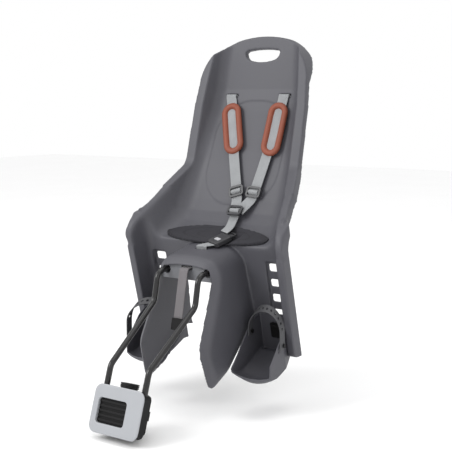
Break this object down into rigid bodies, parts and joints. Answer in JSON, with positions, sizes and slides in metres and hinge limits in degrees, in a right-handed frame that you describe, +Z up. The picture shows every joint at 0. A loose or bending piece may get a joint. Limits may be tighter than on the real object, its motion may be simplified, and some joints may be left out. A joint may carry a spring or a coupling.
{
  "type": "child bike seat",
  "caption": "Rear child bike seat: grey moulded bucket with harness, foot cups with straps, and a bent rod carrier that plugs into a seat tube clamp block.",
  "frame": {"origin": "on the seat tube's axis at the middle of the clamp block's height", "axes": "+Z up, -Y to the front of the seat, +X to the right as seen from the front; left and right in names are as seen from the front"},
  "size_m": [0.3978, 0.5491, 0.7802],
  "materials": {
    "shell_grey": "fine moulded grain",
    "panel_grey": "fine moulded grain",
    "cover_grey": "satin",
    "fitting_plastic": "satin",
    "pad_charcoal": "sewn foam pad",
    "ring_terracotta": "soft foam",
    "webbing_grey": "woven webbing",
    "webbing_dark": "woven webbing",
    "rod_black": "gloss paint",
    "strap_rubber": "matt",
    "liner_rubber": "matt",
    "screw_steel": "zinc"
  },
  "bodies": {
    "block": {"block_body": "fitting_plastic", "block_cover": "cover_grey", "block_grille": "fitting_plastic", "block_jaw": "fitting_plastic", "block_nuts": "screw_steel", "block_screws": "screw_steel", "liner_front": "liner_rubber", "liner_rear": "liner_rubber"},
    "release": {"release_button": "fitting_plastic"},
    "carrier": {"carrier_rod": "rod_black"},
    "seat": {"buckle_body": "fitting_plastic", "buckle_tongue": "fitting_plastic", "clamp_bolts": "screw_steel", "clamp_lower": "fitting_plastic", "clamp_nuts": "screw_steel", "clamp_upper": "fitting_plastic", "crotch_strap": "webbing_grey", "lower_adjuster": "fitting_plastic", "lower_strap": "webbing_grey", "pan_screws": "screw_steel", "rod_guide": "panel_grey", "safety_clip": "fitting_plastic", "safety_pin": "screw_steel", "safety_strap": "webbing_dark", "seat_pad": "pad_charcoal", "seat_shell": "shell_grey", "shoulder_pad_left": "ring_terracotta", "shoulder_pad_right": "ring_terracotta", "shoulder_strap_left": "webbing_grey", "shoulder_strap_right": "webbing_grey", "strap_adjusters": "fitting_plastic", "strap_anchors": "fitting_plastic"},
    "buckle_press": {"buckle_button": "cover_grey"},
    "foot_left": {"footrest_left": "shell_grey", "foot_strap_left": "strap_rubber", "foot_studs_left": "strap_rubber", "foot_latch_left": "fitting_plastic"},
    "foot_right": {"footrest_right": "shell_grey", "foot_strap_right": "strap_rubber", "foot_studs_right": "strap_rubber", "foot_latch_right": "fitting_plastic"}
  },
  "joints": [
    {"name": "carrier_lift", "type": "slide", "parent": "block", "child": "carrier", "axis": [0, 0.3256, 0.9455], "range_m": [0, 0.06]},
    {"name": "seat_fore_aft", "type": "slide", "parent": "carrier", "child": "seat", "axis": [0, 1, 0], "range_m": [0, 0.04]},
    {"name": "release_button_press", "type": "slide", "parent": "block", "child": "release", "axis": [0, -0.9455, 0.3256], "range_m": [0, 0.004], "stiffness_N_per_m": 800},
    {"name": "buckle_button_press", "type": "slide", "parent": "seat", "child": "buckle_press", "axis": [0, 0.342, -0.9397], "range_m": [0, 0.002], "stiffness_N_per_m": 400},
    {"name": "footrest_left_height", "type": "slide", "parent": "seat", "child": "foot_left", "axis": [0, -0.2334, 0.9724], "range_m": [0, 0.066]},
    {"name": "footrest_right_height", "type": "slide", "parent": "seat", "child": "foot_right", "axis": [0, -0.2334, 0.9724], "range_m": [0, 0.066]}
  ]
}
